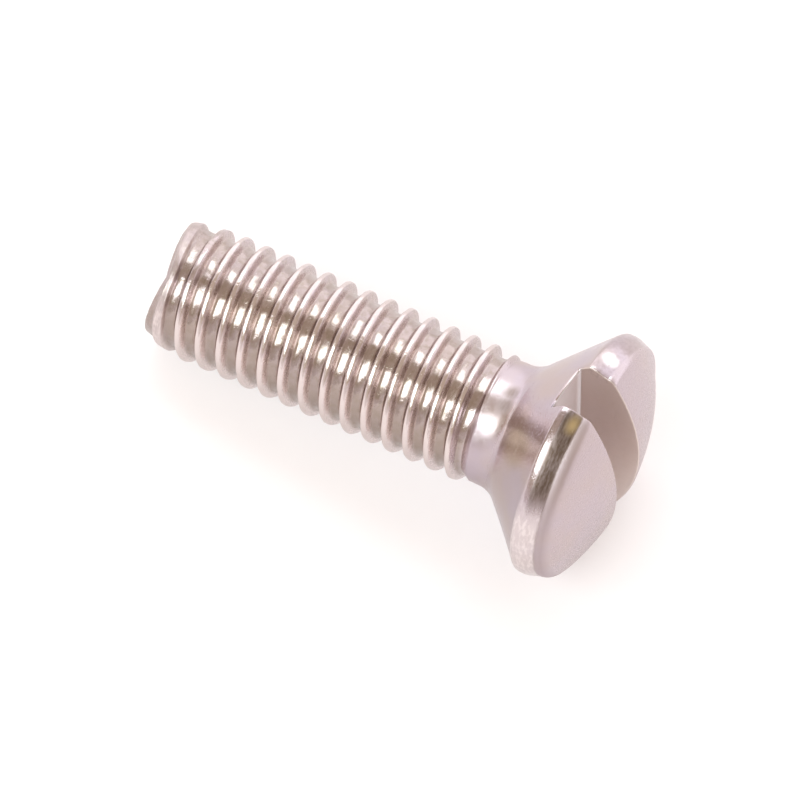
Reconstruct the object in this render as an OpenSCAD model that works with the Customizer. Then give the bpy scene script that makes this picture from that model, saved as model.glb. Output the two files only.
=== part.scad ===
// Raised countersunk machine screw with a straight slot, one solid piece.
// It lies on its side as it comes to rest on a table: the two corners of the
// slot's lower end and one thread crest near the tip touch the plane z = 0.
// Millimetres, +Z up, the screw's axis rises a little toward the head at +X.

/* [Which part] */
// Node to show

/* [Thread] */
// Diameter over the crests
thread_diameter = 6; // [5.4:0.01:6.4]
// Distance from one crest to the next
thread_pitch = 1; // [0.8:0.05:1.25]
// Height of the crests over the roots
thread_depth = 0.49; // [0.4:0.01:0.7]
// Width of a crest as a share of the pitch
crest_share = 0.24; // [0.15:0.01:0.3]
// Width of a root as a share of the pitch
root_share = 0.16; // [0.1:0.01:0.25]
// Turn of the helix against the slot, degrees
thread_phase = 155; // [0:1:359]

/* [Shank] */
// From the flat tip to the plane where the head's land meets its dome
screw_length = 20; // [14:0.5:26]
// Diameter of the plain neck, as the blank was before the thread was rolled
neck_diameter = 5.46; // [5.2:0.02:5.9]
// Diameter that the cut tip leaves to the first turn
tip_diameter = 5.3; // [4.9:0.02:5.9]
// Length over which the first turn grows to its full height
tip_taper_length = 1.6; // [0.5:0.1:2]

/* [Head] */
// Diameter over the land
head_diameter = 10.9; // [10:0.01:12]
// Height of the cylindrical land
land_height = 0.86; // [0.5:0.01:1.2]
// Height of the dome over the land
dome_height = 1.77; // [1.4:0.01:2.2]
// Radius of the dome
dome_radius = 11.1; // [10.5:0.05:13]
// Radius of the dome's shoulder
shoulder_radius = 0.5; // [0.35:0.01:0.6]
// Radius of the edge between the land and the cone
land_edge_radius = 0.25; // [0.1:0.01:0.35]
// Radius of the fillet under the head
fillet_radius = 2.1; // [1.5:0.05:2.5]

/* [Slot] */
// Width of the driver slot
slot_width = 2; // [1.6:0.01:2.3]
// Depth of the slot's floor under the top of the dome
slot_depth = 3.15; // [2.4:0.05:3.4]

/* [Hidden] */
turn_steps = 30;
head_r = head_diameter / 2;
neck_r = neck_diameter / 2;
crest_r = thread_diameter / 2;
root_r = crest_r - thread_depth;
tip_r = tip_diameter / 2;
z_tip = -screw_length;

// The 90 degree cone falls from the land's lower edge to the neck's radius
z_cone_end = -land_height - (head_r - neck_r);
fillet_run = fillet_radius * tan(22.5);
z_fillet = z_cone_end - fillet_run;
z_cone_start = z_cone_end + fillet_run * sin(45);

// Rounded edge where the cone meets the land
land_edge_x = head_r - land_edge_radius;
z_land = -land_height + land_edge_radius * tan(22.5);
z_land_edge = z_land - land_edge_radius * sin(45);

// Where the shoulder's arc is centred so that it meets the dome and the land
shoulder_x = head_r - shoulder_radius;
shoulder_z = dome_height - dome_radius
    + sqrt(pow(dome_radius - shoulder_radius, 2) - pow(shoulder_x, 2));
z_dome = dome_height - dome_radius
    + (shoulder_z - dome_height + dome_radius)
    * dome_radius / (dome_radius - shoulder_radius);

// The neck's lower end slopes down into the thread's roots, and a core inside
// it runs up into the cone, so that the two join over a length
core_r = root_r - 0.15;
z_neck = z_fillet - 0.1;
z_core = z_neck - (neck_r - core_r) * 1.5;
z_core_end = (z_cone_start + z_land_edge) / 2;

// The thread fades out under the neck's fillet
z_fade = z_fillet - 0.35;
z_thread_end = z_fillet + 0.8;
fade_r = neck_r - 0.2;

// Form of one turn: radius against the distance from the crest in pitches
crest_edge = crest_share / 2;
root_edge = 0.5 - root_share / 2;
turn_form = [
    [0, crest_r],
    [crest_edge, crest_r - 0.035],
    [root_edge, root_r + 0.04],
    [0.5, root_r]
];
row_offsets = [-root_edge, -crest_edge, 0, crest_edge, root_edge, 0.5];
rows_per_turn = len(row_offsets);

// Height of row i above the tip plane at angle a, before it is cut to length
function row_z(i, a) = thread_pitch * (
    floor(i / rows_per_turn) + row_offsets[i % rows_per_turn]
    + (a + thread_phase) / 360) + z_tip - 2 * thread_pitch;

// Distance from the nearest crest, in pitches, at height z and angle a
function crest_gap(z, a) =
    let (t = (z - z_tip) / thread_pitch - (a + thread_phase) / 360)
    abs(t - round(t));

// How far the thread has faded out at height z, from 0 to 1
function fade(z) = min(1, max(0, (z - z_fade) / (z_thread_end - z_fade)));

// Largest radius that the tapered tip leaves at height z
function tip_limit(z) = tip_r
    + (crest_r - tip_r) * min(1, (z - z_tip) / tip_taper_length);

function thread_r(z, a) = min(
    tip_limit(z),
    lookup(crest_gap(z, a), turn_form) * (1 - fade(z)) + fade_r * fade(z));

function cut_z(z) = min(z_thread_end, max(z_tip, z));

function thread_point(i, a) =
    let (z = cut_z(row_z(i, a)), r = thread_r(z, a))
    [r * cos(a), r * sin(a), z];

// Tilt of the resting screw: the line under it touches the slot's corners at
// the land's lower edge and the lowest crest, which holds the tip up
rest_r = sqrt(pow(head_r, 2) - pow(slot_width / 2, 2));
z_rest = z_land;
rest_slopes = [
    for (i = [0 : 6 * rows_per_turn])
        let (z = cut_z(row_z(i, 180)))
        if (z > z_tip) (rest_r - thread_r(z, 180)) / (z_rest - z)
];
rest_tilt = atan(min(rest_slopes));
rest_lift = rest_r * cos(rest_tilt) - z_rest * sin(rest_tilt);
front_x = (dome_height - dome_radius) * cos(rest_tilt)
    + sqrt(pow(dome_radius, 2) - pow(slot_width / 2, 2));
back_x = z_tip * cos(rest_tilt) - tip_r * sin(rest_tilt);
middle_x = (front_x + back_x) / 2;

// Threaded shank, a closed skin whose rows run along the helix
module threaded_shank() {
    rows = rows_per_turn * (ceil((z_thread_end - z_tip) / thread_pitch) + 4);
    skin = [
        for (i = [0 : rows - 1])
            for (s = [0 : turn_steps - 1])
                thread_point(i, s * 360 / turn_steps)
    ];
    below = len(skin);
    above = below + 1;
    // The seam joins a row's last point to the row one turn further on
    sides = [
        for (i = [0 : rows - 2 - rows_per_turn])
            for (s = [0 : turn_steps - 1])
                let (
                    wrap = s == turn_steps - 1,
                    a = i * turn_steps + s,
                    b = wrap ? (i + rows_per_turn) * turn_steps : a + 1,
                    c = b + turn_steps,
                    d = a + turn_steps
                )
                each [[a, c, b], [a, d, c]]
    ];
    tip_face = [
        for (s = [0 : turn_steps - 1])
            [below, s, (s + 1) % turn_steps]
    ];
    last_row = (rows - 1 - rows_per_turn) * turn_steps;
    end_face = [
        for (s = [0 : turn_steps - 1])
            [above, last_row + (s + 1) % turn_steps, last_row + s]
    ];
    polyhedron(
        concat(skin, [[0, 0, z_tip], [0, 0, z_thread_end]]),
        concat(sides, tip_face, end_face)
    );
}

// A slab of the head's outline: from the axis out to reach, between two heights
module slab(low, high, reach) {
    translate([0, low])
        square([reach, high - low]);
}

// Half of the head's outline, stacked from the core up to the dome
module head_outline() {
    // Core, and the slope from it out to the neck
    polygon([
        [0, z_core],
        [core_r, z_core],
        [neck_r, z_neck],
        [neck_r, z_fillet],
        [core_r, z_fillet],
        [core_r, z_core_end],
        [0, z_core_end]
    ]);
    // Concave fillet
    difference() {
        slab(z_fillet, z_cone_start, neck_r + fillet_radius);
        translate([neck_r + fillet_radius, z_fillet])
            circle(fillet_radius);
    }
    // Countersunk cone
    polygon([
        [0, z_cone_start],
        [neck_r + z_cone_start - z_cone_end, z_cone_start],
        [land_edge_x + land_edge_radius * sin(45), z_land_edge],
        [0, z_land_edge]
    ]);
    // Rounded edge between the cone and the land
    slab(z_land_edge, z_land, land_edge_x);
    intersection() {
        slab(z_land_edge, z_land, head_r);
        translate([land_edge_x, z_land])
            circle(land_edge_radius);
    }
    slab(z_land, shoulder_z, head_r);
    // Rounded shoulder between the land and the dome
    slab(shoulder_z, z_dome, shoulder_x);
    intersection() {
        slab(shoulder_z, z_dome, head_r);
        translate([shoulder_x, shoulder_z])
            circle(shoulder_radius);
    }
    intersection() {
        slab(z_dome, dome_height, head_r);
        translate([0, dome_height - dome_radius])
            circle(dome_radius);
    }
}

// Head, neck and core, turned about the screw's axis and slotted across
module slotted_head() {
    difference() {
        rotate_extrude($fn = 180)
            head_outline($fn = 180);
        translate([-head_r - 1, -slot_width / 2, dome_height - slot_depth])
            cube([2 * head_r + 2, slot_width, slot_depth + 1]);
    }
}

module machine_screw() {
    color("silver")
    translate([-middle_x, 0, rest_lift])
    rotate([0, 90 - rest_tilt, 0])
    rotate([0, 0, 180])
    union() {
        slotted_head();
        threaded_shank();
    }
}

machine_screw();
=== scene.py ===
import math

import bmesh
import bpy
from mathutils import Matrix, Vector


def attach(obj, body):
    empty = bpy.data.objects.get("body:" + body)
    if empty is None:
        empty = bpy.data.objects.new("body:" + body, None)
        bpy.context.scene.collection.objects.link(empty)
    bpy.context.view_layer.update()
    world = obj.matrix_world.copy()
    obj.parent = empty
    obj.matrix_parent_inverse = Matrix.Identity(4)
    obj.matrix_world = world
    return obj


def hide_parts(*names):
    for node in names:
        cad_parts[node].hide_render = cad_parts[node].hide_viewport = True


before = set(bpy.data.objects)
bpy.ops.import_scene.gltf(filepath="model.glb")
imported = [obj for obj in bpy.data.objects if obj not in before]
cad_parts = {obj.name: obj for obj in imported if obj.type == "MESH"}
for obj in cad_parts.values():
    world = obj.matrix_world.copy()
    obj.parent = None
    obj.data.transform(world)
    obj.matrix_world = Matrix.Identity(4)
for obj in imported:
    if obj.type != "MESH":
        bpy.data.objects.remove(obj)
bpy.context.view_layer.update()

# Sizes are in millimetres, in the screw's own frame: z runs along the axis toward
# the head and is 0 at the dome's rim, x runs along the slot and y across it.

# Thread and cut tip
PITCH = 1.0
CREST_R = 3.0
THREAD_DEPTH = 0.44
ROOT_R = CREST_R - THREAD_DEPTH
# Turn of the helix against the slot, in turns
PHASE = 146 / 360
# Distance from the crest as a share of half a pitch, and the height there as a
# share of the depth
THREAD_FORM = (
    (0.0, 1.0), (0.1, 0.985), (0.2, 0.88), (0.41, 0.28), (0.53, 0.12), (0.74, 0.03),
    (1.0, 0.0),
)
FULLER_FLANK = 0.035
UNEVENNESS = 0.08
UNEVEN_SEED = 7.0
TIP_Z = -20.0
TIP_R = 2.7
TAPER = 1.75
TAPER_MARGIN = 0.02
TAPER_BLEND = 0.06
TIP_EDGE_HEIGHT = 0.42
TIP_EDGE_DEPTH = 0.27

# Neck, with the thread's run-out, and fillet
NECK_R = 2.78
NECK_Z = -4.5
NECK_SLOPE = 1.5
NECK_BLEND = 0.08
FADE_Z = -4.98
FADE_R = 2.05
FILLET_R = 1.4

# Head and slot; the land falls back above its flat part
HEAD_R = 5.45
LAND = 0.86
LAND_EDGE_R = 0.34
LAND_FLAT = 0.2
LAND_DRAFT = 0.36
DRAFT_EASE = 0.12
CREASE_Z = 0.1
SHOULDER_R = 0.5
DOME_H = 1.77
DOME_R = 10.5
SLOT_W = 2.0
SLOT_DEPTH = 3.15
EDGE = 0.07

# Wear and small faults of this one screw. Each reach or rise is the length over
# which a fault fades in or out.
HEAD_LEAN = 0.032
DOME_UPRIGHT = 0.45
UPRIGHT_RISE = 0.6
FAR_SIDE = 0.04
FAR_WEAR = 0.22
FAR_WEAR_Y = 3.0
FAR_WEAR_REACH = 2.4
FAR_WEAR_RISE = 0.5
SLOT_SHIFT = 0.13
SHIFT_REACH = 3.0
SHIFT_RISE = 0.8
FLOOR_FALL = 0.24
FALL_REACH = 1.6
FALL_RISE = 1.2
END_REACH = 1.4
END_OUT = 0.3
END_BACK = 0.52
END_TURN = 27.8

# Heights and radii that follow from these
TAN_22 = math.tan(math.radians(22.5))
SIN_45 = math.sin(math.radians(45))
CONE_END_Z = -LAND - (HEAD_R - NECK_R)
FILLET_Z = CONE_END_Z - FILLET_R * TAN_22
CONE_Z = CONE_END_Z + FILLET_R * TAN_22 * SIN_45
END_Z = FILLET_Z + 0.8
LAND_Z = -LAND + LAND_EDGE_R * TAN_22
LAND_EDGE_X = HEAD_R - LAND_EDGE_R
DOME_C = DOME_H - DOME_R
SLOT_HALF = SLOT_W / 2
LOBE_Y = SLOT_HALF + EDGE
FLOOR_Z = DOME_H - SLOT_DEPTH

# Steps of the mesh. The shank's rings have as many columns as the head's.
ROWS_PER_TURN = 28
FLOOR_STEPS = 6
ROUND_STEPS = 3
LOBE_STEPS = 60
COLUMNS = 2 * (FLOOR_STEPS + 2 * ROUND_STEPS + LOBE_STEPS)
FILLET_STEPS = 8
LOW_CONE_STEPS = 16
HIGH_CONE_STEPS = 7
LAND_EDGE_STEPS = 6
DOME_STEPS = 30
LAND_SHARES = (0, 0.06, 0.12, 0.25, 0.4, 0.6, 0.8, 0.93, 0.98)
SHOULDER_SHARES = (0, 0.03, 0.08, 0.16, 0.28, 0.4, 0.52, 0.64, 0.76, 0.88)
WALL_SHARES = [0.0, 0.006, 0.02] + [k / 24 for k in range(1, 24)] + [0.98, 0.994, 1.0]
CAP_SHARES = (1.0, 0.985, 0.95, 0.85, 0.65, 0.4, 0.2)
SHANK_MERGE = 0.0005
BODY_MERGE = 0.0015

# Resting place: the axis rises toward the head by the tilt
REST_TILT = math.radians(7.75415)
MIDDLE_X = -9.18225
REST_LIFT = 5.41055
TILT_COS, TILT_SIN = math.cos(REST_TILT), math.sin(REST_TILT)
# Own frame in millimetres to the row frame in metres
PLACE = Matrix.Scale(0.001, 4) @ Matrix((
    (-TILT_SIN, 0, TILT_COS, -MIDDLE_X),
    (0, -1, 0, 0),
    (TILT_COS, 0, TILT_SIN, REST_LIFT),
    (0, 0, 0, 1),
))


def show(name, data):
    """Puts a new object into the scene."""
    thing = bpy.data.objects.new(name, data)
    bpy.context.scene.collection.objects.link(thing)
    return thing


# Helpers for node trees

def put(tree, socket, value):
    """Links a socket to another one, or gives it a plain value."""
    if isinstance(value, bpy.types.NodeSocket):
        tree.links.new(value, socket)
    elif value is not None:
        socket.default_value = value


def maths(tree, operation, a, b=None, c=None):
    node = tree.nodes.new("ShaderNodeMath")
    node.operation = operation
    for socket, value in zip(node.inputs, (a, b, c)):
        put(tree, socket, value)
    return node.outputs[0]


def times(tree, product, *factors):
    for factor in factors:
        product = maths(tree, "MULTIPLY", product, factor)
    return product


def remap(tree, value, low, high, to_low=0.0, to_high=1.0, smooth=False):
    node = tree.nodes.new("ShaderNodeMapRange")
    node.interpolation_type = "SMOOTHSTEP" if smooth else "LINEAR"
    for name, v in (("Value", value), ("From Min", low), ("From Max", high),
                    ("To Min", to_low), ("To Max", to_high)):
        put(tree, node.inputs[name], v)
    return node.outputs["Result"]


def split(tree, vector):
    node = tree.nodes.new("ShaderNodeSeparateXYZ")
    tree.links.new(vector, node.inputs[0])
    return node.outputs


def joined(tree, x, y, z):
    node = tree.nodes.new("ShaderNodeCombineXYZ")
    for socket, value in zip(node.inputs, (x, y, z)):
        put(tree, socket, value)
    return node.outputs[0]


def stretched(tree, vector, scale):
    node = tree.nodes.new("ShaderNodeVectorMath")
    node.operation = "MULTIPLY"
    tree.links.new(vector, node.inputs[0])
    node.inputs[1].default_value = scale
    return node.outputs[0]


def grain(tree, vector, scale, detail, rough=0.5):
    node = tree.nodes.new("ShaderNodeTexNoise")
    tree.links.new(vector, node.inputs["Vector"])
    node.inputs["Scale"].default_value = scale
    node.inputs["Detail"].default_value = detail
    node.inputs["Roughness"].default_value = rough
    return node.outputs[0]


def streaky(tree, vector, stretch, scale, detail, rough=0.5):
    return grain(tree, stretched(tree, vector, stretch), scale, detail, rough)


def blend(tree, share, a, b):
    """Mix of two colours, each a socket or plain red, green and blue."""
    node = tree.nodes.new("ShaderNodeMix")
    node.data_type = "RGBA"
    put(tree, node.inputs["Factor"], share)
    for socket, value in ((node.inputs["A"], a), (node.inputs["B"], b)):
        put(tree, socket, value if isinstance(value, bpy.types.NodeSocket) else (*value, 1))
    return node.outputs["Result"]


def new_group(name, kind, given):
    """Node group with the given inputs, each a name and a kind of socket."""
    tree = bpy.data.node_groups.new(name, kind)
    for label, what in given:
        tree.interface.new_socket(label, in_out="INPUT", socket_type="NodeSocket" + what)
    return tree, tree.nodes.new("NodeGroupInput").outputs


def end_group(tree, results, what="Float"):
    """Gives the group one output for each named result."""
    for label in results:
        tree.interface.new_socket(label, in_out="OUTPUT", socket_type="NodeSocket" + what)
    made = tree.nodes.new("NodeGroupOutput").inputs
    for label, socket in results.items():
        tree.links.new(socket, made[label])
    return tree


def use_group(tree, group, given):
    node = tree.nodes.new("ShaderNodeGroup")
    node.node_tree = group
    for label, socket in given.items():
        tree.links.new(socket, node.inputs[label])
    return node.outputs


# Threaded shank: a grid whose rows run along the helix, wrapped into a tube

def shank_inputs(material):
    """Name, kind and value of everything the shank's node tree is given."""
    return (
        ("Columns", "Int", COLUMNS), ("Rows per Turn", "Int", ROWS_PER_TURN),
        ("Pitch", "Float", PITCH), ("Crest Radius", "Float", CREST_R),
        ("Depth", "Float", THREAD_DEPTH), ("Phase", "Float", PHASE),
        ("Unevenness", "Float", UNEVENNESS), ("Seed", "Float", UNEVEN_SEED),
        ("Tip Height", "Float", TIP_Z), ("End Height", "Float", END_Z),
        ("Tip Radius", "Float", TIP_R), ("Taper Length", "Float", TAPER),
        ("Fade Height", "Float", FADE_Z), ("Fade Radius", "Float", FADE_R),
        ("Neck Radius", "Float", NECK_R), ("Neck Height", "Float", NECK_Z),
        ("Fillet Height", "Float", FILLET_Z), ("Fillet Radius", "Float", FILLET_R),
        ("Material", "Material", material),
    )


def thread_height(tree, gap):
    """Height over the root as a share of the depth, by the gap in pitches."""
    node = tree.nodes.new("ShaderNodeFloatCurve")
    curve = node.mapping.curves[0]
    curve.points[0].location = THREAD_FORM[0]
    curve.points[-1].location = THREAD_FORM[-1]
    for x, y in THREAD_FORM[1:-1]:
        curve.points.new(x, y)
    node.mapping.update()
    tree.links.new(times(tree, gap, 2.0), node.inputs["Value"])
    return node.outputs[0]


def shank_tree(inputs):
    tree, given = new_group("Threaded shank", "GeometryNodeTree",
                            [(name, kind) for name, kind, _ in inputs])

    def m(operation, a, b=None, c=None):
        return maths(tree, operation, a, b, c)

    # The rows start below the tip and end above the shank, and are cut to length
    turns_below, turns_more = 1.5, 1.6
    span = m("DIVIDE", m("SUBTRACT", given["End Height"], given["Tip Height"]), given["Pitch"])
    rows = m("CEIL", m("MULTIPLY", m("ADD", span, turns_more), given["Rows per Turn"]))
    grid = tree.nodes.new("GeometryNodeMeshGrid")
    put(tree, grid.inputs["Vertices X"], m("ADD", given["Columns"], 1.0))
    put(tree, grid.inputs["Vertices Y"], m("ADD", rows, 1.0))
    turn, up, _ = split(tree, grid.outputs["UV Map"])
    row = m("DIVIDE", m("MULTIPLY", up, rows), given["Rows per Turn"])
    turns_up = m("ADD", m("SUBTRACT", row, turns_below), turn)
    free_z = m("ADD", given["Tip Height"], m("MULTIPLY", given["Pitch"], turns_up))
    z = m("MINIMUM", m("MAXIMUM", free_z, given["Tip Height"]), given["End Height"])
    above_tip = m("SUBTRACT", z, given["Tip Height"])

    # Distance from the nearest crest in pitches; the flank toward the head is a
    # little fuller
    t = m("SUBTRACT", m("SUBTRACT", m("DIVIDE", above_tip, given["Pitch"]), turn), given["Phase"])
    signed = m("SUBTRACT", t, m("ROUND", t))
    gap = m("ABSOLUTE", signed)
    fuller = m("MULTIPLY", m("GREATER_THAN", signed, 0.0),
               m("SINE", m("MULTIPLY", gap, 2 * math.pi)))
    gap = m("MULTIPLY_ADD", fuller, -FULLER_FLANK, gap)

    # Slight unevenness of the rolled crests
    angle = m("MULTIPLY", turn, 2 * math.pi)
    around = joined(tree, m("MULTIPLY", m("COSINE", angle), CREST_R),
                    m("MULTIPLY", m("SINE", angle), CREST_R), m("ADD", z, given["Seed"]))
    uneven = m("SUBTRACT", grain(tree, around, 1.3, 2.0), 0.5)
    uneven = m("MULTIPLY", uneven, given["Unevenness"])

    # Thread, tapered at the tip and faded out under the fillet
    r = m("SUBTRACT", given["Crest Radius"],
          m("MULTIPLY", given["Depth"], m("SUBTRACT", 1.0, thread_height(tree, gap))))
    r = m("ADD", r, uneven)
    grown = m("MINIMUM", m("DIVIDE", above_tip, given["Taper Length"]), 1.0)
    limit = m("ADD", given["Tip Radius"],
              m("MULTIPLY", grown, m("SUBTRACT", given["Crest Radius"], given["Tip Radius"])))
    r = m("SMOOTH_MIN", r, m("ADD", limit, TAPER_MARGIN), TAPER_BLEND)
    faded = remap(tree, z, given["Fade Height"], given["End Height"])
    r = m("ADD", m("MULTIPLY", r, m("SUBTRACT", 1.0, faded)),
          m("MULTIPLY", given["Fade Radius"], faded))

    # Neck and fillet, which the thread runs out into
    below = m("MAXIMUM", m("SUBTRACT", given["Neck Height"], z), 0.0)
    neck = m("SUBTRACT", given["Neck Radius"], m("DIVIDE", below, NECK_SLOPE))
    rise = m("MAXIMUM", m("SUBTRACT", z, given["Fillet Height"]), 0.0)
    sag = m("SQRT", m("SUBTRACT", m("MULTIPLY", given["Fillet Radius"], given["Fillet Radius"]),
                      m("MULTIPLY", rise, rise)))
    fillet = m("ADD", neck, m("SUBTRACT", given["Fillet Radius"], sag))
    on_neck = remap(tree, z, given["Fillet Height"], given["Neck Height"])
    fillet = m("ADD", fillet, m("MULTIPLY", uneven, on_neck))
    r = m("SMOOTH_MAX", r, fillet, NECK_BLEND)

    # Rounded edge of the flat tip
    short = m("MAXIMUM", m("SUBTRACT", 1.0, m("DIVIDE", above_tip, TIP_EDGE_HEIGHT)), 0.0)
    round_share = m("SUBTRACT", 1.0, m("SQRT", m("SUBTRACT", 1.0, m("MULTIPLY", short, short))))
    r = m("SUBTRACT", r, m("MULTIPLY", round_share, TIP_EDGE_DEPTH))

    spot = joined(tree, m("MULTIPLY", r, m("COSINE", angle)),
                  m("MULTIPLY", r, m("SINE", angle)), z)
    moved = tree.nodes.new("GeometryNodeSetPosition")
    tree.links.new(grid.outputs["Mesh"], moved.inputs["Geometry"])
    tree.links.new(spot, moved.inputs["Position"])
    merged = tree.nodes.new("GeometryNodeMergeByDistance")
    merged.inputs["Distance"].default_value = SHANK_MERGE
    tree.links.new(moved.outputs[0], merged.inputs["Geometry"])
    real = tree.nodes.new("GeometryNodeRealizeInstances")
    tree.links.new(merged.outputs[0], real.inputs[0])
    finish = tree.nodes.new("GeometryNodeSetMaterial")
    tree.links.new(real.outputs[0], finish.inputs["Geometry"])
    tree.links.new(given["Material"], finish.inputs["Material"])
    return end_group(tree, {"Geometry": finish.outputs[0]}, "Geometry")


def shank_mesh(material):
    inputs = shank_inputs(material)
    values = {name: value for name, _, value in inputs}
    tree = shank_tree(inputs)
    holder = show("shank_holder", bpy.data.meshes.new("shank_holder"))
    modifier = holder.modifiers.new("Threaded shank", "NODES")
    modifier.node_group = tree
    for item in tree.interface.items_tree:
        if item.item_type == "SOCKET" and item.in_out == "INPUT":
            modifier[item.identifier] = values[item.name]
    holder.update_tag()
    bpy.context.view_layer.update()
    shown = holder.evaluated_get(bpy.context.evaluated_depsgraph_get())
    mesh = bpy.data.meshes.new_from_object(shown)
    bpy.data.objects.remove(holder)
    return mesh


# Head: rings up to the slot's floor, two lobes, rounded slot edges, walls, floor

def clamp(value):
    return min(max(value, 0.0), 1.0)


def cone_r(z):
    return NECK_R + z - CONE_END_Z


def floor_end(y):
    """How far the slot's floor reaches along x at the distance y from its middle."""
    return math.sqrt(cone_r(FLOOR_Z) ** 2 - (y * (1 + EDGE / SLOT_HALF)) ** 2) - EDGE


def lobe_angles(r):
    """Angles of the columns round one lobe, where the head has the radius r."""
    first = math.asin(min(LOBE_Y / r, 1.0))
    return [first + (math.pi - 2 * first) * k / LOBE_STEPS for k in range(LOBE_STEPS + 1)]


def land_draft(z):
    """How far the land falls back above its narrow flat part."""
    over = max(z - LAND_Z - LAND_FLAT, 0.0)
    half = 0.5 * LAND_DRAFT
    return half * over * min(over / DRAFT_EASE, 1.0) + half * max(over - DRAFT_EASE, 0.0)


def head_levels():
    """Radius and height of the head's outline above the slot's floor."""
    levels = []
    rim = LAND_Z - LAND_EDGE_R * SIN_45
    for k in range(HIGH_CONE_STEPS):
        z = FLOOR_Z + (rim - FLOOR_Z) * k / HIGH_CONE_STEPS
        levels.append((LAND_EDGE_X + LAND_EDGE_R * SIN_45 - (rim - z), z))
    for k in range(LAND_EDGE_STEPS):
        a = math.radians(-45 + 45 * k / LAND_EDGE_STEPS)
        r = LAND_EDGE_X + LAND_EDGE_R * math.cos(a)
        levels.append((r, LAND_Z + LAND_EDGE_R * math.sin(a)))
    for share in LAND_SHARES:
        z = LAND_Z + (CREASE_Z - LAND_Z) * share
        levels.append((HEAD_R - land_draft(z), z))
    # Shoulder arc from the crease to where it runs into the dome
    crease_r = HEAD_R - land_draft(CREASE_Z)
    rise = CREASE_Z - DOME_C
    apart = math.hypot(crease_r, rise)
    reach = DOME_R - SHOULDER_R
    along = (reach ** 2 - SHOULDER_R ** 2 + apart ** 2) / (2 * apart)
    off = math.sqrt(reach ** 2 - along ** 2)
    cx = (along * crease_r - off * rise) / apart
    cz = DOME_C + (along * rise + off * crease_r) / apart
    first = math.atan2(CREASE_Z - cz, crease_r - cx)
    top = math.atan2(cz - DOME_C, cx)
    for share in SHOULDER_SHARES:
        a = first + (top - first) * share
        levels.append((cx + SHOULDER_R * math.cos(a), cz + SHOULDER_R * math.sin(a)))
    # Dome, up to the middle of the slot's edge
    start = DOME_R * math.cos(top)
    far = math.sqrt(start ** 2 - LOBE_Y ** 2)
    for k in range(DOME_STEPS + 1):
        r = math.hypot(far * (1 - k / DOME_STEPS), LOBE_Y)
        levels.append((r, DOME_C + math.sqrt(DOME_R ** 2 - r ** 2)))
    return levels


def inward_ways(outline):
    """The way in which each point of the outline is set back at a slot edge."""
    ways = []
    last = len(outline) - 1
    for k, (_, z) in enumerate(outline):
        before, after = outline[max(k - 1, 0)], outline[min(k + 1, last)]
        dx, dz = after[0] - before[0], after[1] - before[1]
        size = math.hypot(dx, dz)
        nx, nz = dz / size, -dx / size
        if z <= CREASE_Z or nz < 0:
            nx, nz = 1.0, 0.0
        if k == last:
            nx, nz = 0.0, 1.0
        ways.append((nx, nz))
    return ways


def add_grid(bm, rows):
    """Joins rows of points, each given as tuples, into quads."""
    made = [[bm.verts.new(p) for p in row] for row in rows]
    for low, high in zip(made, made[1:]):
        for a, b, c, d in zip(low, low[1:], high[1:], high):
            bm.faces.new((a, b, c, d))


def head_rings(bm):
    """Fillet and lower cone: from even columns to those of the slot and lobes."""
    low_z = FLOOR_Z - EDGE
    r_low, r_floor = cone_r(low_z), cone_r(FLOOR_Z)
    x_edge = math.sqrt(r_floor ** 2 - LOBE_Y ** 2)
    across = [SLOT_W * k / FLOOR_STEPS for k in range(FLOOR_STEPS // 2)]
    flat = [(floor_end(y), y) for y in across]
    for k in range(ROUND_STEPS):
        a = math.radians(90 - 90 * k / ROUND_STEPS)
        y = LOBE_Y - EDGE * math.sin(a)
        across.append(y)
        flat.append((x_edge - EDGE * (1 - math.cos(a)), y))
    angles = [math.asin(y / r_low) for y in across]
    half_turn = angles + lobe_angles(r_low) + [math.pi - a for a in angles[:0:-1]]
    ring = half_turn + [a + math.pi for a in half_turn]
    heights = [END_Z + (CONE_Z - END_Z) * k / FILLET_STEPS for k in range(FILLET_STEPS)]
    heights += [CONE_Z + (low_z - CONE_Z) * k / LOW_CONE_STEPS
                for k in range(LOW_CONE_STEPS + 1)]
    rows = []
    for z in heights:
        if z < CONE_Z:
            r = NECK_R + FILLET_R - math.sqrt(FILLET_R ** 2 - (z - FILLET_Z) ** 2)
        else:
            r = cone_r(z)
        share = (z - END_Z) / (low_z - END_Z)
        share = share * share * (3 - 2 * share)
        row = []
        for k, a in enumerate(ring):
            turned = 2 * math.pi * k / COLUMNS
            turned += (a - turned) * share
            row.append((r * math.cos(turned), r * math.sin(turned), z))
        rows.append(row + row[:1])
    # The ring at the floor's level runs over the lobes and the floor's open ends
    lobe = [(r_floor * math.cos(a), r_floor * math.sin(a)) for a in lobe_angles(r_floor)]
    half_ring = flat + lobe + [(-x, y) for x, y in flat[:0:-1]]
    full = half_ring + [(-x, -y) for x, y in half_ring]
    top = [(x, y, FLOOR_Z) for x, y in full]
    rows.append(top + top[:1])
    add_grid(bm, rows)


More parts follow.
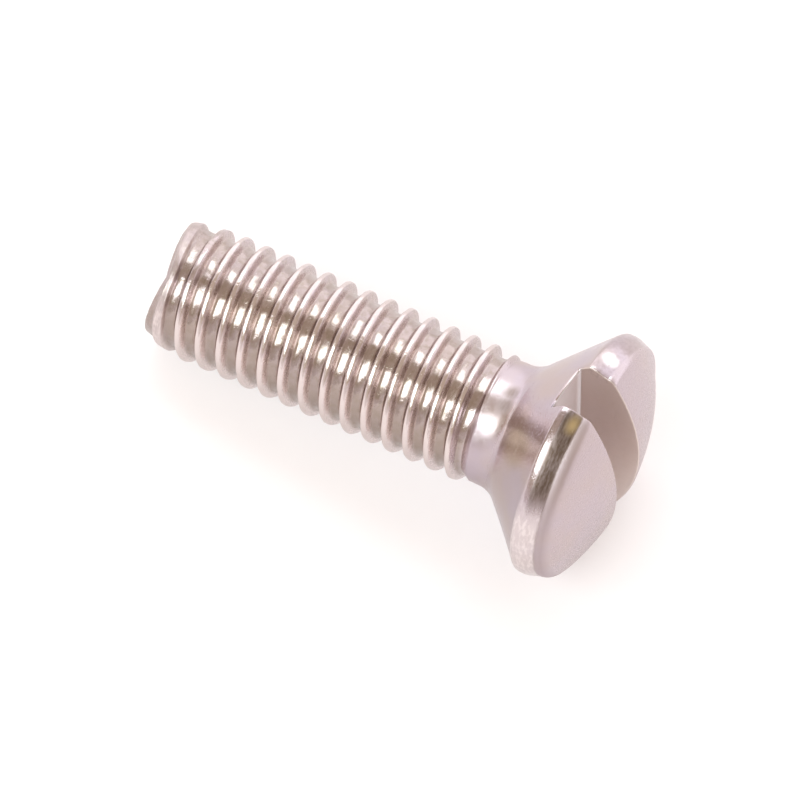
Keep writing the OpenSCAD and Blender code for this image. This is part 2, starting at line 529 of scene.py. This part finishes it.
def head_lobes(bm):
    """Two lobes with rounded slot edges, the slot's walls and its floor."""
    levels = head_levels()
    outline = [(math.sqrt(max(r * r - LOBE_Y * LOBE_Y, 0.0)), z) for r, z in levels]
    ways = inward_ways(outline)
    for s in (1, -1):
        rows, rounds_a, rounds_b, wall = [], [], [], []
        for (r, z), (x, _), (nx, nz) in zip(levels, outline, ways):
            rows.append([(r * math.cos(a), s * r * math.sin(a), z) for a in lobe_angles(r)])
            round_a, round_b = [], []
            for k in range(ROUND_STEPS + 1):
                a = math.radians(90 * k / ROUND_STEPS)
                back = EDGE * (1 - math.cos(a))
                y = s * (LOBE_Y - EDGE * math.sin(a))
                round_a.append((x - back * nx, y, z - back * nz))
                round_b.append((-x + back * nx, y, z - back * nz))
            rounds_a.append(round_a)
            rounds_b.append(round_b)
            x_in, z_in = x - EDGE * nx, z - EDGE * nz
            wall.append([(x_in * (1 - 2 * t), s * SLOT_HALF, z_in) for t in WALL_SHARES])
        for part in (rows, rounds_a, rounds_b, wall):
            add_grid(bm, part)
    rows = []
    for k in range(FLOOR_STEPS + 1):
        y = -SLOT_HALF + SLOT_W * k / FLOOR_STEPS
        rows.append([(floor_end(y) * (1 - 2 * t), y, FLOOR_Z) for t in WALL_SHARES])
    add_grid(bm, rows)


def tip_cap(bm):
    """Closes the shank's open end at the tip with rings round a middle point."""
    open_edges = [e for e in bm.edges if e.is_boundary and e.verts[0].co.z < TIP_Z + 0.1]
    ring = list({v for e in open_edges for v in e.verts})
    ring.sort(key=lambda v: math.atan2(v.co.y, v.co.x))
    ring.append(ring[0])
    rows = [[(v.co.x * share, v.co.y * share, TIP_Z) for v in ring] for share in CAP_SHARES]
    add_grid(bm, rows)
    centre = bm.verts.new((0, 0, TIP_Z))
    last = [bm.verts.new(p) for p in rows[-1]]
    for a, b in zip(last, last[1:]):
        bm.faces.new((a, b, centre))


def lean_head(p):
    """Sets the slot and the head a little askew, as the worn screw has them."""
    if p.z < FILLET_Z:
        return
    # The slot's floor falls toward its near side and the slot sits off the middle
    if p.y > -SLOT_HALF:
        side = clamp((SLOT_HALF - p.y) / SLOT_W)
    else:
        side = max(1 - (-SLOT_HALF - p.y) / FALL_REACH, 0.0)
    level = max(1 - abs(p.z - FLOOR_Z) / FALL_RISE, 0.0)
    lift = FLOOR_FALL * side * level
    # What is lifted widens with the cone, so the cone's skin stays straight
    outer = cone_r(p.z)
    r = math.hypot(p.x, p.y)
    p.x *= 1 + lift / outer * min(r / outer, 1.0) ** 4
    p.z += lift
    above = clamp((p.z - FLOOR_Z + SHIFT_RISE) / SHIFT_RISE)
    p.y -= SLOT_SHIFT * above * max(1 - abs(p.y) / SHIFT_REACH, 0.0)
    # Lean of the whole head, less in the dome; its far side is a little wider
    share = clamp((p.z - FILLET_Z) / (-LAND - FILLET_Z)) ** 2
    if p.y < 0:
        p.y *= 1 + FAR_SIDE * share
    upright = DOME_UPRIGHT * clamp((p.z - CREASE_Z) / UPRIGHT_RISE)
    lean = HEAD_LEAN * share * (1 - upright)
    # The far lobe's shoulder is worn down
    if p.y < -FAR_WEAR_Y and p.z > CREASE_Z:
        out = min((-p.y - FAR_WEAR_Y) / FAR_WEAR_REACH, 1.0)
        p.z -= FAR_WEAR * out ** 2 * min((p.z - CREASE_Z) / FAR_WEAR_RISE, 1.0)
    y, z = p.y, p.z
    p.y += lean * z
    p.z -= lean * y


def uneven_end(p):
    """The cut end stands out at its sides and falls back where it faces up."""
    share = clamp((TIP_Z + END_REACH - p.z) / END_REACH) ** 2
    r = math.hypot(p.x, p.y)
    if share == 0.0 or r < 1e-6:
        return
    around = math.atan2(p.y, p.x) - math.radians(END_TURN)
    out = min(r / TIP_R, 1.0) ** 2
    sides = END_OUT * max(math.cos(around), 0.0) - END_BACK * abs(math.sin(around))
    p.z += share * out * sides


def screw_mesh(material):
    """The whole screw as one closed mesh, which keeps each point's true place."""
    mesh = shank_mesh(material)
    bm = bmesh.new()
    bm.from_mesh(mesh)
    tip_cap(bm)
    head_rings(bm)
    head_lobes(bm)
    bmesh.ops.remove_doubles(bm, verts=bm.verts, dist=BODY_MERGE)
    bmesh.ops.recalc_face_normals(bm, faces=bm.faces)
    own = bm.verts.layers.float_vector.new("screw_co")
    for v in bm.verts:
        v[own] = v.co
        lean_head(v.co)
        uneven_end(v.co)
    for face in bm.faces:
        face.smooth = True
    bm.transform(PLACE)
    bm.to_mesh(mesh)
    bm.free()
    mesh.name = "screw_body"
    return mesh


# Nickel: the places on the screw and the fine marks are node groups, which one
# material reads

# Way across the screw toward its lower side, where the colour is painted paler and the roots
# painted darker, along x and along y
UNDER_X, UNDER_Y = -0.464, 0.886

COLOURS = {
    "plate": (0.575, 0.48, 0.47),
    "cool plate": (0.555, 0.475, 0.525),
    "film": (0.36, 0.305, 0.245),
    "oily root": (0.44, 0.36, 0.31),
    "flank": (0.74, 0.64, 0.61),
    "pale underside": (0.92, 0.82, 0.80),
    "soiled root": (0.34, 0.27, 0.22),
    "crest": (0.80, 0.71, 0.69),
    "slot": (0.95, 0.85, 0.80),
    "floor": (0.75, 0.71, 0.73),
    "dome": (0.66, 0.565, 0.585),
    "worn land": (0.36, 0.29, 0.27),
    "dark band": (0.14, 0.10, 0.08),
    "crease": (0.34, 0.28, 0.27),
    "rim": (0.80, 0.72, 0.72),
    "nicks": (0.97, 0.90, 0.89),
    "brass": (0.58, 0.45, 0.25),
    "stain": (0.36, 0.29, 0.28),
    "golden cone": (0.47, 0.385, 0.29),
    "rubbed land": (0.97, 0.96, 0.95),
    "dull tip": (0.40, 0.33, 0.325),
    "shoulder": (0.43, 0.36, 0.37),
}

# Soft spots: centre, radius up to which they are full and radius where they end.
# Those that follow a stretch have their centre in the stretched place.
DARK_NECK_SPOTS = (((2.78, 0.0, -3.75), 0.1, 0.55), ((2.72, 0.59, -3.75), 0.1, 0.55))
# Painted highlight: a near-white patch on the far land
FAR_LAND_HIGHLIGHT_SPOT = ((5.0, -2.0, -0.3), 0.2, 0.55)
BRASS_STRETCH, BRASS_SPOT = (1.0, 0.6, 1.0), ((5.16, 0.95, -0.1), 0.0, 0.42)
# Painted reflection: a gold-brown patch on the cone
CONE_REFLECTION_STRETCH, CONE_REFLECTION_SPOT = (1.0, 1.0, 0.5), ((3.15, 2.46, -1.15), 0.45, 1.15)

# What each place adds to the roughness of the plate
DULLER = (
    ("Dome", 0.08), ("Slot", 0.25), ("Flank", 0.08), ("Neck", 0.14), ("Tip", 0.06),
    ("Painted Dark Band", 0.22), ("Shoulder", 0.3),
)


def places_group():
    """Masks of the screw's places, from 0 to 1, by the place in its own frame."""
    tree, given = new_group("Places on the Screw", "ShaderNodeTree", (("Place", "Vector"),))
    x, y, z = split(tree, given["Place"])
    r = maths(tree, "SQRT", maths(tree, "ADD", times(tree, x, x), times(tree, y, y)))

    def ramp(value, start, end, high=1.0):
        return remap(tree, value, start, end, 0.0, high)

    thread = remap(tree, z, -4.6, -5.1, smooth=True)
    root = remap(tree, r, CREST_R - 0.18, ROOT_R + 0.03, smooth=True)
    under = maths(tree, "MULTIPLY_ADD", y, UNDER_Y, times(tree, x, UNDER_X))
    wide = ramp(r, 4.9, 5.1)
    near_side = ramp(y, 1.02, 1.1)
    crease_gap = maths(tree, "ABSOLUTE", maths(tree, "SUBTRACT", z, CREASE_Z))
    slot = times(tree, ramp(maths(tree, "ABSOLUTE", y), SLOT_HALF + 0.05, SLOT_HALF + 0.005),
                 ramp(z, FLOOR_Z - 0.03, FLOOR_Z - 0.005))
    return end_group(tree, {
        "Root": times(tree, root, thread),
        # Flanks, which are painted paler
        "Flank": times(tree, ramp(r, CREST_R - 0.03, CREST_R - 0.1),
                       ramp(r, ROOT_R + 0.03, ROOT_R + 0.1), thread),
        # Crests, which are painted paler as a highlight
        "Crest": times(tree, ramp(r, CREST_R - 0.06, CREST_R - 0.015, 0.8),
                       ramp(z, -19.0, -18.2), thread),
        # Side of the thread that is painted paler, and darker in its roots
        "Under": times(tree, ramp(under, 0.8, 1.7), thread),
        "Thread": thread,
        "Neck": times(tree, ramp(z, -4.9, -4.5), ramp(z, -3.3, -3.6)),
        "Tip": ramp(z, -18.7, -19.3),
        "Land": times(tree, ramp(z, -0.98, -0.9),
                      ramp(z, CREASE_Z + 0.03, CREASE_Z - 0.02), wide),
        # painted reflection: the near land's upper part, painted dark
        "Painted Dark Band": times(tree, ramp(z, -0.64, -0.5), ramp(x, 2.4, 3.6), near_side,
                      ramp(z, CREASE_Z + 0.06, CREASE_Z - 0.04), wide),
        # painted shade along the crease between land and dome
        "Painted Crease Shade": times(tree, wide, ramp(crease_gap, 0.05, 0.015, 0.7), near_side),
        "Rim": times(tree, ramp(z, -1.02, -0.95), ramp(z, CREASE_Z + 0.05, CREASE_Z - 0.1),
                     ramp(x, 3.2, 2.0), wide),
        # Slot's walls and floor, which are painted paler
        "Slot": slot,
        "Floor": times(tree, slot, ramp(z, FLOOR_Z + 0.06, FLOOR_Z + 0.02)),
        "Dome": times(tree, ramp(z, CREASE_Z, CREASE_Z + 0.1),
                      maths(tree, "SUBTRACT", 1.0, slot)),
        # Near shoulder, which is painted darker
        "Shoulder": times(tree, ramp(z, CREASE_Z + 0.5, CREASE_Z + 0.25),
                          ramp(z, CREASE_Z, CREASE_Z + 0.04), near_side),
    })


def marks_group():
    """Rolling marks round the shank, scratches and dents on the head, small pits."""
    tree, given = new_group(
        "Fine Marks", "ShaderNodeTree",
        (("Place", "Vector"), ("Thread", "Float"), ("Land", "Float"), ("Dome", "Float")))
    place = given["Place"]
    rolled = streaky(tree, place, (0.5, 0.5, 9.0), 1.6, 3.0, 0.6)
    brushed = streaky(tree, place, (0.7, 9.0, 2.0), 1.2, 4.0, 0.6)
    dents = streaky(tree, place, (2.2, 2.2, 3.0), 1.8, 2.0)
    pits = remap(tree, grain(tree, place, 7.0, 2.0), 0.60, 0.72)
    tip = remap(tree, split(tree, place)[2], -18.8, -19.4)
    height = times(tree, rolled, given["Thread"], 1.4)
    for mark, much in ((times(tree, brushed, given["Dome"]), 0.05),
                       (times(tree, dents, given["Land"]), 1.5),
                       (pits, -0.5), (times(tree, dents, tip), 3.0)):
        height = maths(tree, "MULTIPLY_ADD", mark, much, height)
    tone = maths(tree, "ADD", times(tree, rolled, 0.5), times(tree, dents, 0.5))
    return end_group(tree, {"Height": height, "Tone": tone})


def near_spot(tree, place, centre, full, end):
    """Soft round mask about a point on the screw."""
    node = tree.nodes.new("ShaderNodeVectorMath")
    node.operation = "DISTANCE"
    tree.links.new(place, node.inputs[0])
    node.inputs[1].default_value = centre
    return remap(tree, node.outputs["Value"], end, full, smooth=True)


def nickel():
    material = bpy.data.materials.new("nickel_plate")
    material.use_nodes = True
    tree = material.node_tree
    shader = tree.nodes["Principled BSDF"]
    own = tree.nodes.new("ShaderNodeAttribute")
    own.attribute_name = "screw_co"
    place = own.outputs["Vector"]
    masks = use_group(tree, places_group(), {"Place": place})
    marks = use_group(tree, marks_group(), {
        "Place": place, "Thread": masks["Thread"], "Land": masks["Land"],
        "Dome": masks["Dome"]})

    # Brown film, mostly in the thread and a little in the slot
    held = maths(tree, "MULTIPLY_ADD", masks["Slot"], 0.3, 0.03)
    held = maths(tree, "MULTIPLY_ADD", masks["Thread"], 0.6, held)
    film = times(tree, remap(tree, grain(tree, place, 3.4, 5.0, 0.7), 0.46, 0.62), held)
    root_tone = remap(tree, grain(tree, place, 1.1, 3.0), 0.3, 0.7, 0.3, 0.75)
    off_root = maths(tree, "SUBTRACT", 1.0, masks["Root"])
    # Streaks: wear on the land and its rim, and ragged edges for the painted dark patch on the
    # land, the neck's darker patches and the painted highlight on the far land
    worn = remap(tree, streaky(tree, place, (1.5, 1.5, 3.0), 2.4, 5.0, 0.7), 0.45, 0.62)
    ragged = streaky(tree, place, (1.5, 1.5, 6.0), 1.6, 3.0, 0.6)
    ragged = remap(tree, ragged, 0.35, 0.6, 0.7, 1.0)
    streaks = streaky(tree, place, (1.5, 1.5, 5.0), 1.6, 2.0)
    # Soft spots: brass on the land, darker patches on the neck, a painted reflection on the cone
    # and a painted highlight on the far land
    brass = near_spot(tree, stretched(tree, place, BRASS_STRETCH), *BRASS_SPOT)
    dark_neck_patches = [near_spot(tree, place, *spot) for spot in DARK_NECK_SPOTS]
    stain = times(tree, maths(tree, "MAXIMUM", *dark_neck_patches), ragged)
    cone_reflection = near_spot(tree, stretched(tree, place, CONE_REFLECTION_STRETCH), *CONE_REFLECTION_SPOT)
    far_land_highlight = near_spot(tree, place, *FAR_LAND_HIGHLIGHT_SPOT)
    dull = remap(tree, marks["Tone"], 0.35, 0.6, 0.0, 0.5)

    # Colours laid one over the other, each by its share
    cloud = remap(tree, grain(tree, place, 0.55, 2.0), 0.35, 0.65)
    colour = blend(tree, cloud, COLOURS["plate"], COLOURS["cool plate"])
    for name, share in (
        ("film", film),
        # the thread's roots darker brown, by a noise
        ("oily root", times(tree, root_tone, masks["Root"])),
        # painted light: the flanks are made paler to offset the darkening of their reflections in
        # each other
        ("flank", times(tree, masks["Flank"], 0.45)),
        # painted light: the thread's lower side is made paler
        ("pale underside", times(tree, masks["Under"], off_root, 0.8)),
        # painted shade: the roots on the thread's lower side are made darker
        ("soiled root", times(tree, masks["Under"], masks["Root"], 0.45)),
        # painted highlight: a paler line along the crests
        ("crest", masks["Crest"]),
        # painted light: the slot's walls are made paler to lift their shade
        ("slot", times(tree, masks["Slot"], 0.8)),
        # painted light: the slot's floor is made paler and cooler to stand in for what it
        # reflects
        ("floor", masks["Floor"]),
        ("dome", times(tree, masks["Dome"], 0.5)),
        ("worn land", times(tree, masks["Land"], 0.28, worn)),
        # painted reflection: a dark patch on the near land's upper part
        ("dark band", times(tree, masks["Painted Dark Band"], ragged)),
        # painted shade: a dark line along the crease between land and dome
        ("crease", masks["Painted Crease Shade"]),
        ("rim", times(tree, masks["Rim"], 0.7)),
        ("nicks", times(tree, masks["Rim"], 0.45, remap(tree, streaks, 0.45, 0.62))),
        ("brass", times(tree, brass, masks["Land"])),
        # darker, rougher patches on the neck, with ragged edges
        ("stain", stain),
        # painted reflection: a gold-brown patch on the cone's near side
        ("golden cone", times(tree, cone_reflection, 0.7)),
        # painted highlight: a near-white patch on the far land by the slot
        ("rubbed land", times(tree, far_land_highlight, masks["Land"],
                              remap(tree, streaks, 0.35, 0.5, 0.5, 1.0))),
        ("dull tip", times(tree, masks["Tip"], dull)),
        # painted shade: the near lobe's shoulder is made darker
        ("shoulder", times(tree, masks["Shoulder"], 0.4)),
    ):
        colour = blend(tree, share, colour, COLOURS[name])
    tree.links.new(colour, shader.inputs["Base Color"])

    shader.inputs["Metallic"].default_value = 1.0
    rough = remap(tree, marks["Tone"], 0.3, 0.7, 0.15, 0.24)
    for name, more in DULLER:
        rough = maths(tree, "MULTIPLY_ADD", masks[name], more, rough)
    rough = maths(tree, "MULTIPLY_ADD", stain, 0.2, rough)
    tree.links.new(rough, shader.inputs["Roughness"])
    bump = tree.nodes.new("ShaderNodeBump")
    bump.inputs["Strength"].default_value = 1.0
    bump.inputs["Distance"].default_value = 6e-6
    tree.links.new(marks["Height"], bump.inputs["Height"])
    tree.links.new(bump.outputs[0], shader.inputs["Normal"])
    return material


plate = nickel()
body = show("screw_body", screw_mesh(plate))
body.data.materials.clear()
body.data.materials.append(plate)
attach(body, "root")
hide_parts("machine_screw")


# Camera: nearly straight down, turned a little against the screw

# Own axes of the screw as the camera sees them: to the right, down and away
SEEN_X = Vector((-0.02182, -0.51879, -0.85463))
SEEN_Z = Vector((0.88537, 0.38702, -0.25754))
# The dome's rim from the camera, in the same directions and in millimetres
RIM_SEEN = (8.053, 2.634, 205.74)
SENSOR_WIDTH = 36
LENS = 219.6


def camera():
    data = bpy.data.cameras.new("camera")
    eye = show("camera", data)
    seen_y = SEEN_Z.cross(SEEN_X).normalized()
    turn = PLACE.to_3x3() * 1000
    to_camera = Matrix((SEEN_X, seen_y, SEEN_Z)).transposed() @ turn.inverted()
    right, down, away = to_camera[0], to_camera[1], to_camera[2]
    rim = PLACE @ Vector((0, 0, 0))
    to_right, to_down, to_away = RIM_SEEN
    place = rim - (to_right * right + to_down * down + to_away * away) * 0.001
    axes = Matrix((right, -down, -away)).transposed()
    eye.matrix_world = Matrix.Translation(place) @ axes.to_4x4()
    data.sensor_width = SENSOR_WIDTH
    data.lens = LENS
    data.clip_start, data.clip_end = 0.01, 10
    bpy.context.scene.camera = eye


camera()


# Plain soft light: two strip lamps along the screw, pale paper around them

# Name, angle and width in degrees, ends along x in metres, and strength
STRIPS = (
    ("front_strip", -42, 32, -0.45, 0.05, 3.8),
    ("back_strip", 30, 27, -0.36, 0.04, 2.3),
)
STRIP_DISTANCE = 0.35
STRIP_COLOUR = (0.87, 1.0, 1.02)


def strip(name, angle, width, start, end, strength):
    """Strip lamp at an angle from straight up, positive toward the back."""
    turned = math.radians(angle)
    data = bpy.data.lights.new(name, "AREA")
    data.shape = "RECTANGLE"
    data.size = end - start
    data.size_y = 2 * STRIP_DISTANCE * math.tan(math.radians(width / 2))
    data.energy = strength * math.pi * data.size * data.size_y
    data.color = STRIP_COLOUR
    face = Vector((0, math.sin(turned), math.cos(turned)))
    side = Vector((1, 0, 0))
    place = face * STRIP_DISTANCE + side * (start + end) / 2
    axes = Matrix((side, face.cross(side), face)).transposed()
    show(name, data).matrix_world = Matrix.Translation(place) @ axes.to_4x4()


for values in STRIPS:
    strip(*values)

# How much the paper shines of itself where the camera sees it straight, and in
# the screw's reflections
FLOOR_LIFT = 0.42
FLOOR_GLOSS = 0.26
PAPER_DARK, PAPER_LIGHT = (0.59, 0.55, 0.56), (0.61, 0.57, 0.58)
PAPER_GLOW = (1.0, 0.985, 0.985, 1)


def paper_floor():
    data = bpy.data.meshes.new("floor")
    data.from_pydata([(-1, -1, 0), (1, -1, 0), (1, 1, 0), (-1, 1, 0)], [], [(0, 1, 2, 3)])
    floor = show("floor", data)
    paper = bpy.data.materials.new("paper")
    paper.use_nodes = True
    tree = paper.node_tree
    shader = tree.nodes["Principled BSDF"]
    spot = tree.nodes.new("ShaderNodeTexCoord").outputs["Object"]
    fibres = grain(tree, spot, 900.0, 3.0)
    tree.links.new(blend(tree, fibres, PAPER_DARK, PAPER_LIGHT), shader.inputs["Base Color"])
    shader.inputs["Roughness"].default_value = 0.9
    shader.inputs["Emission Color"].default_value = PAPER_GLOW
    path = tree.nodes.new("ShaderNodeLightPath").outputs
    seen = maths(tree, "MAXIMUM", path["Is Camera Ray"], path["Is Transmission Ray"])
    lift = maths(tree, "MULTIPLY", seen, FLOOR_LIFT)
    lift = maths(tree, "MULTIPLY_ADD", path["Is Glossy Ray"], FLOOR_GLOSS, lift)
    tree.links.new(lift, shader.inputs["Emission Strength"])
    data.materials.append(paper)


paper_floor()

# Surroundings in bands along the screw: degrees from straight up, positive
# toward the back, and the colour there
PALE = (1.35, 1.30, 1.31)
BROWN = (0.58, 0.47, 0.38)
MIDDLE = (1.05, 0.97, 0.93)
GOLDEN = (0.70, 0.60, 0.49)
WORLD_STOPS = (
    (-90, (0.85, 0.77, 0.77)), (-77, (0.80, 0.72, 0.70)), (-71, BROWN), (-62, BROWN),
    (-56, GOLDEN), (-24, GOLDEN), (-19, BROWN), (11, BROWN), (16, MIDDLE), (42, MIDDLE),
    (50, PALE), (90, (1.65, 1.62, 1.66)),
)


def studio_world():
    world = bpy.data.worlds.new("studio")
    bpy.context.scene.world = world
    world.use_nodes = True
    tree = world.node_tree
    where = tree.nodes.new("ShaderNodeTexCoord").outputs["Generated"]
    _, y, z = split(tree, where)
    turned = maths(tree, "ARCTAN2", y, z)
    share = maths(tree, "MULTIPLY_ADD", turned, 1 / math.pi, 0.5)
    ramp = tree.nodes.new("ShaderNodeValToRGB")
    tree.links.new(share, ramp.inputs[0])
    band = ramp.color_ramp
    while len(band.elements) < len(WORLD_STOPS):
        band.elements.new(0.5)
    for element, (angle, colour) in zip(band.elements, WORLD_STOPS):
        element.position = angle / 180 + 0.5
        element.color = (*colour, 1)
    background = tree.nodes["Background"]
    tree.links.new(ramp.outputs[0], background.inputs["Color"])
    background.inputs["Strength"].default_value = 1.0


studio_world()

bpy.context.scene.view_settings.view_transform = "Standard"
